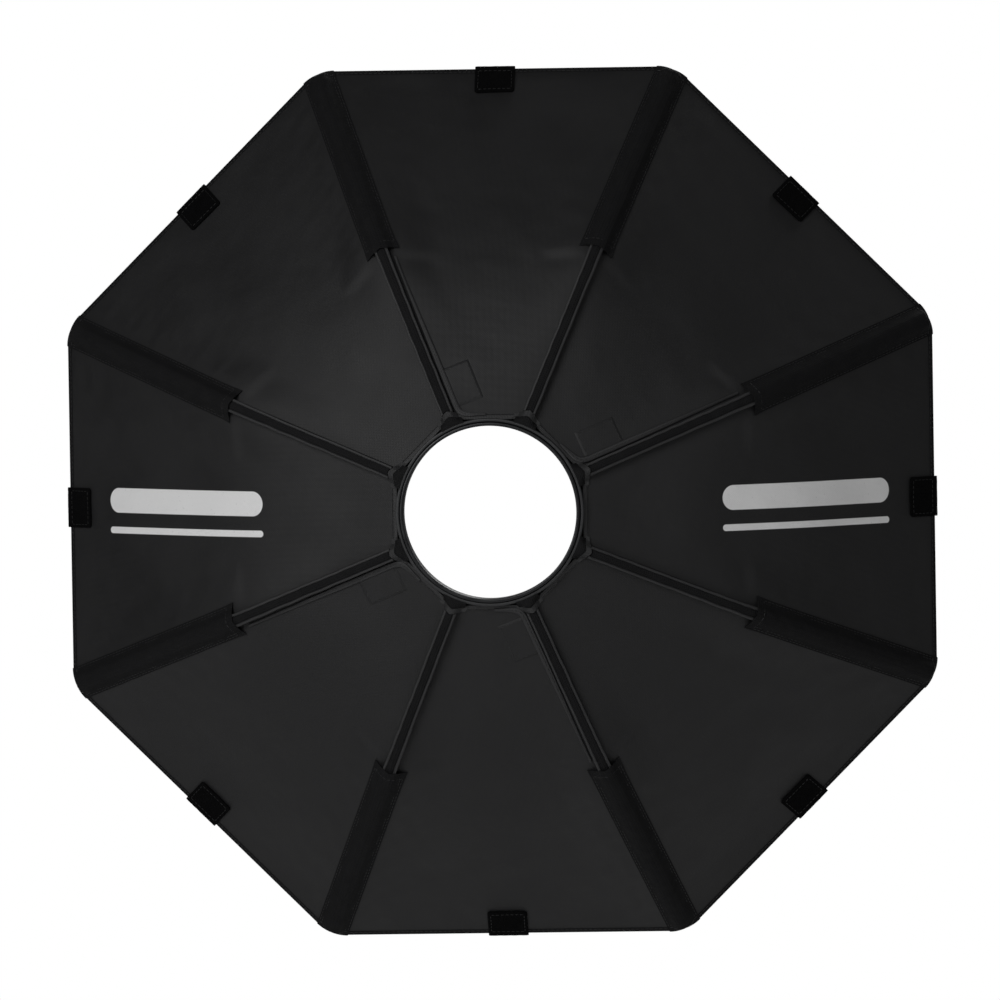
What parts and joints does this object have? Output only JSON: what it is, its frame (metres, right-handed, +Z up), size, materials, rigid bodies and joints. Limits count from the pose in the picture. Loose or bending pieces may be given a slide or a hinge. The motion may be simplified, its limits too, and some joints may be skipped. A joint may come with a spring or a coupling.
{
  "type": "octagonal softbox",
  "caption": "Octagonal folding softbox: black cloth bowl on hinged spring rods round a hub ring, with hook-and-loop tabs on the rim.",
  "frame": {"origin": "centre of the hub bore, in the plane of the socket ring's rear face", "axes": "+Y along the optical axis from the hub to the open front, +Z up with a flat side at the top"},
  "size_m": [0.602, 0.1668, 0.602],
  "materials": {
    "hub_metal": "satin black anodised",
    "pin_steel": "bright zinc",
    "moulding": "black glass-filled nylon",
    "spring_rod": "black coated spring steel",
    "cloth": "black coated nylon, silver inside",
    "silver_lining": "silver reflective cloth",
    "webbing": "black ballistic webbing",
    "hook_loop": "black hook-and-loop tape",
    "print_white": "white screen print"
  },
  "bodies": {
    "hub": {"socket_ring": "moulding", "retaining_ring": "hub_metal", "pivot_pin_1": "pin_steel", "pivot_pin_2": "pin_steel", "pivot_pin_3": "pin_steel", "pivot_pin_4": "pin_steel", "pivot_pin_5": "pin_steel", "pivot_pin_6": "pin_steel", "pivot_pin_7": "pin_steel", "pivot_pin_8": "pin_steel"},
    "bayonet_ring": {"mount_ring": "hub_metal"},
    "rib_1": {"rod_1": "spring_rod", "rod_ferrule_1": "moulding", "rod_pocket_1": "webbing"},
    "rib_2": {"rod_2": "spring_rod", "rod_ferrule_2": "moulding", "rod_pocket_2": "webbing"},
    "rib_3": {"rod_3": "spring_rod", "rod_ferrule_3": "moulding", "rod_pocket_3": "webbing"},
    "rib_4": {"rod_4": "spring_rod", "rod_ferrule_4": "moulding", "rod_pocket_4": "webbing"},
    "rib_5": {"rod_5": "spring_rod", "rod_ferrule_5": "moulding", "rod_pocket_5": "webbing"},
    "rib_6": {"rod_6": "spring_rod", "rod_ferrule_6": "moulding", "rod_pocket_6": "webbing"},
    "rib_7": {"rod_7": "spring_rod", "rod_ferrule_7": "moulding", "rod_pocket_7": "webbing"},
    "rib_8": {"rod_8": "spring_rod", "rod_ferrule_8": "moulding", "rod_pocket_8": "webbing"},
    "gore_1": {"panel_1": "cloth", "stitched_patch_1": "cloth"},
    "gore_2": {"panel_2": "cloth", "stitched_patch_2": "cloth"},
    "gore_3": {"panel_3": "cloth"},
    "gore_4": {"panel_4": "cloth"},
    "gore_5": {"panel_5": "cloth", "stitched_patch_5": "cloth"},
    "gore_6": {"panel_6": "cloth", "stitched_patch_6": "cloth"},
    "gore_7": {"panel_7": "cloth"},
    "gore_8": {"panel_8": "cloth"},
    "tab_1": {"rim_tab_1": "hook_loop"},
    "tab_2": {"rim_tab_2": "hook_loop"},
    "tab_3": {"rim_tab_3": "hook_loop"},
    "tab_4": {"rim_tab_4": "hook_loop"},
    "tab_5": {"rim_tab_5": "hook_loop"},
    "tab_6": {"rim_tab_6": "hook_loop"},
    "tab_7": {"rim_tab_7": "hook_loop"},
    "tab_8": {"rim_tab_8": "hook_loop"}
  },
  "joints": [
    {"name": "bayonet_spin", "type": "hinge", "parent": "hub", "child": "bayonet_ring", "pos_m": [0, 0, 0], "axis": [0, 1, 0], "continuous": true},
    {"name": "rib_fold_1", "type": "hinge", "parent": "hub", "child": "rib_1", "pos_m": [0.06199, 0.002, 0.02568], "axis": [-0.3827, 0, 0.9239], "range_deg": [0, 57]},
    {"name": "rib_fold_2", "type": "hinge", "parent": "hub", "child": "rib_2", "pos_m": [0.02568, 0.002, 0.06199], "axis": [-0.9239, 0, 0.3827], "range_deg": [0, 57]},
    {"name": "rib_fold_3", "type": "hinge", "parent": "hub", "child": "rib_3", "pos_m": [-0.02568, 0.002, 0.06199], "axis": [-0.9239, 0, -0.3827], "range_deg": [0, 57]},
    {"name": "rib_fold_4", "type": "hinge", "parent": "hub", "child": "rib_4", "pos_m": [-0.06199, 0.002, 0.02568], "axis": [-0.3827, 0, -0.9239], "range_deg": [0, 57]},
    {"name": "rib_fold_5", "type": "hinge", "parent": "hub", "child": "rib_5", "pos_m": [-0.06199, 0.002, -0.02568], "axis": [0.3827, 0, -0.9239], "range_deg": [0, 57]},
    {"name": "rib_fold_6", "type": "hinge", "parent": "hub", "child": "rib_6", "pos_m": [-0.02568, 0.002, -0.06199], "axis": [0.9239, 0, -0.3827], "range_deg": [0, 57]},
    {"name": "rib_fold_7", "type": "hinge", "parent": "hub", "child": "rib_7", "pos_m": [0.02568, 0.002, -0.06199], "axis": [0.9239, 0, 0.3827], "range_deg": [0, 57]},
    {"name": "rib_fold_8", "type": "hinge", "parent": "hub", "child": "rib_8", "pos_m": [0.06199, 0.002, -0.02568], "axis": [0.3827, 0, 0.9239], "range_deg": [0, 57]},
    {"name": "gore_fold_1", "type": "hinge", "parent": "rib_1", "child": "gore_1", "pos_m": [0.06199, 0.002, 0.02568], "axis": [0.0265, 0.1906, -0.9813], "range_deg": [0, 30.19], "deforming": ["panel_1"]},
    {"name": "gore_fold_2", "type": "hinge", "parent": "rib_2", "child": "gore_2", "pos_m": [0.02568, 0.002, 0.06199], "axis": [0.7126, 0.1906, -0.6752], "range_deg": [0, 30.19], "deforming": ["panel_2"]},
    {"name": "gore_fold_3", "type": "hinge", "parent": "rib_3", "child": "gore_3", "pos_m": [-0.02568, 0.002, 0.06199], "axis": [0.9813, 0.1906, 0.0265], "range_deg": [0, 30.19], "deforming": ["panel_3"]},
    {"name": "gore_fold_4", "type": "hinge", "parent": "rib_4", "child": "gore_4", "pos_m": [-0.06199, 0.002, 0.02568], "axis": [0.6752, 0.1906, 0.7126], "range_deg": [0, 30.19], "deforming": ["panel_4"]},
    {"name": "gore_fold_5", "type": "hinge", "parent": "rib_5", "child": "gore_5", "pos_m": [-0.06199, 0.002, -0.02568], "axis": [-0.0265, 0.1906, 0.9813], "range_deg": [0, 30.19], "deforming": ["panel_5"]},
    {"name": "gore_fold_6", "type": "hinge", "parent": "rib_6", "child": "gore_6", "pos_m": [-0.02568, 0.002, -0.06199], "axis": [-0.7126, 0.1906, 0.6752], "range_deg": [0, 30.19], "deforming": ["panel_6"]},
    {"name": "gore_fold_7", "type": "hinge", "parent": "rib_7", "child": "gore_7", "pos_m": [0.02568, 0.002, -0.06199], "axis": [-0.9813, 0.1906, -0.0265], "range_deg": [0, 30.19], "deforming": ["panel_7"]},
    {"name": "gore_fold_8", "type": "hinge", "parent": "rib_8", "child": "gore_8", "pos_m": [0.06199, 0.002, -0.02568], "axis": [-0.6752, 0.1906, -0.7126], "range_deg": [0, 30.19], "deforming": ["panel_8"]},
    {"name": "tab_fold_1", "type": "hinge", "parent": "rib_2", "child": "tab_1", "pos_m": [0.02568, 0.002, 0.06199], "axis": [0.9813, -0.1906, -0.0265], "range_deg": [0, 30.19]},
    {"name": "tab_fold_2", "type": "hinge", "parent": "rib_3", "child": "tab_2", "pos_m": [-0.02568, 0.002, 0.06199], "axis": [0.7126, -0.1906, 0.6752], "range_deg": [0, 30.19]},
    {"name": "tab_fold_3", "type": "hinge", "parent": "rib_4", "child": "tab_3", "pos_m": [-0.06199, 0.002, 0.02568], "axis": [0.0265, -0.1906, 0.9813], "range_deg": [0, 30.19]},
    {"name": "tab_fold_4", "type": "hinge", "parent": "rib_5", "child": "tab_4", "pos_m": [-0.06199, 0.002, -0.02568], "axis": [-0.6752, -0.1906, 0.7126], "range_deg": [0, 30.19]},
    {"name": "tab_fold_5", "type": "hinge", "parent": "rib_6", "child": "tab_5", "pos_m": [-0.02568, 0.002, -0.06199], "axis": [-0.9813, -0.1906, 0.0265], "range_deg": [0, 30.19]},
    {"name": "tab_fold_6", "type": "hinge", "parent": "rib_7", "child": "tab_6", "pos_m": [0.02568, 0.002, -0.06199], "axis": [-0.7126, -0.1906, -0.6752], "range_deg": [0, 30.19]},
    {"name": "tab_fold_7", "type": "hinge", "parent": "rib_8", "child": "tab_7", "pos_m": [0.06199, 0.002, -0.02568], "axis": [-0.0265, -0.1906, -0.9813], "range_deg": [0, 30.19]},
    {"name": "tab_fold_8", "type": "hinge", "parent": "rib_1", "child": "tab_8", "pos_m": [0.06199, 0.002, 0.02568], "axis": [0.6752, -0.1906, -0.7126], "range_deg": [0, 30.19]}
  ],
  "couplings": [
    {"joint": "rib_fold_2", "follows": "rib_fold_1", "ratio": 1},
    {"joint": "rib_fold_3", "follows": "rib_fold_1", "ratio": 1},
    {"joint": "rib_fold_4", "follows": "rib_fold_1", "ratio": 1},
    {"joint": "rib_fold_5", "follows": "rib_fold_1", "ratio": 1},
    {"joint": "rib_fold_6", "follows": "rib_fold_1", "ratio": 1},
    {"joint": "rib_fold_7", "follows": "rib_fold_1", "ratio": 1},
    {"joint": "rib_fold_8", "follows": "rib_fold_1", "ratio": 1},
    {"joint": "gore_fold_1", "follows": "rib_fold_1", "ratio": 0.52936},
    {"joint": "gore_fold_2", "follows": "rib_fold_1", "ratio": 0.52936},
    {"joint": "gore_fold_3", "follows": "rib_fold_1", "ratio": 0.52936},
    {"joint": "gore_fold_4", "follows": "rib_fold_1", "ratio": 0.52936},
    {"joint": "gore_fold_5", "follows": "rib_fold_1", "ratio": 0.52936},
    {"joint": "gore_fold_6", "follows": "rib_fold_1", "ratio": 0.52936},
    {"joint": "gore_fold_7", "follows": "rib_fold_1", "ratio": 0.52936},
    {"joint": "gore_fold_8", "follows": "rib_fold_1", "ratio": 0.52936},
    {"joint": "tab_fold_1", "follows": "rib_fold_1", "ratio": 0.52936},
    {"joint": "tab_fold_2", "follows": "rib_fold_1", "ratio": 0.52936},
    {"joint": "tab_fold_3", "follows": "rib_fold_1", "ratio": 0.52936},
    {"joint": "tab_fold_4", "follows": "rib_fold_1", "ratio": 0.52936},
    {"joint": "tab_fold_5", "follows": "rib_fold_1", "ratio": 0.52936},
    {"joint": "tab_fold_6", "follows": "rib_fold_1", "ratio": 0.52936},
    {"joint": "tab_fold_7", "follows": "rib_fold_1", "ratio": 0.52936},
    {"joint": "tab_fold_8", "follows": "rib_fold_1", "ratio": 0.52936}
  ]
}
